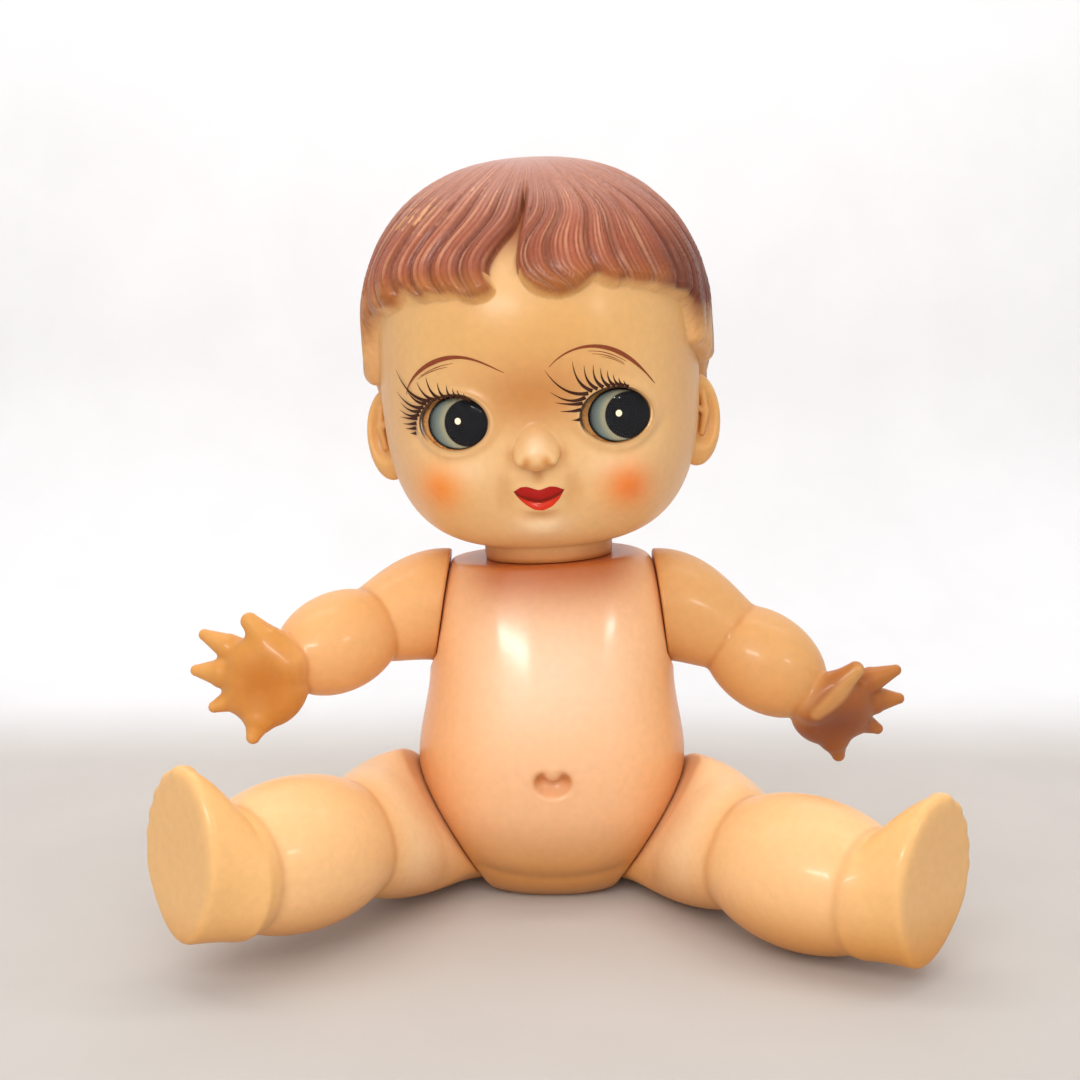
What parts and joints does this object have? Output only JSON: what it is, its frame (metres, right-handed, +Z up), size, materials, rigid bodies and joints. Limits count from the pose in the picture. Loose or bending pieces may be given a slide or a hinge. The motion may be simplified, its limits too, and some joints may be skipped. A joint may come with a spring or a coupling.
{
  "type": "vinyl doll",
  "caption": "Seated soft-vinyl baby doll with a moulded bowl haircut, inset domed eyes, painted face, and head, arms and legs that turn on plugged flange joints.",
  "frame": {"origin": "middle of the torso's flat seat, where the doll sits on the ground", "axes": "+Z up through the body, -Y the way the doll faces, +X towards the doll's own left"},
  "size_m": [0.3791, 0.2661, 0.3834],
  "materials": {
    "torso_vinyl": "semi-gloss soft vinyl",
    "head_vinyl": "semi-gloss soft vinyl with sprayed and painted features",
    "limb_vinyl": "semi-gloss soft vinyl",
    "eye_white": "gloss",
    "iris_print": "printed disc",
    "eye_lens": "clear polished dome"
  },
  "bodies": {
    "torso": {"torso": "torso_vinyl"},
    "head": {"head": "head_vinyl", "left_eye_white": "eye_white", "left_iris": "iris_print", "left_eye_lens": "eye_lens", "right_eye_white": "eye_white", "right_iris": "iris_print", "right_eye_lens": "eye_lens"},
    "left_arm": {"left_arm": "limb_vinyl"},
    "right_arm": {"right_arm": "limb_vinyl"},
    "left_leg": {"left_leg": "limb_vinyl"},
    "right_leg": {"right_leg": "limb_vinyl"}
  },
  "joints": [
    {"name": "neck_turn", "type": "hinge", "parent": "torso", "child": "head", "pos_m": [-0.0015, 0, 0.1765], "axis": [-0.0523, 0, 0.9986], "continuous": true},
    {"name": "left_shoulder", "type": "hinge", "parent": "torso", "child": "left_arm", "pos_m": [0.0575, 0, 0.1495], "axis": [0.9903, 0, 0.1392], "continuous": true},
    {"name": "right_shoulder", "type": "hinge", "parent": "torso", "child": "right_arm", "pos_m": [-0.0575, 0, 0.1495], "axis": [0.9903, 0, -0.1392], "continuous": true},
    {"name": "left_hip", "type": "hinge", "parent": "torso", "child": "left_leg", "pos_m": [0.053, -0.003, 0.037], "axis": [0.848, 0, -0.5299], "range_deg": [-10, 180]},
    {"name": "right_hip", "type": "hinge", "parent": "torso", "child": "right_leg", "pos_m": [-0.053, -0.003, 0.037], "axis": [0.848, 0, 0.5299], "range_deg": [-10, 180]}
  ]
}
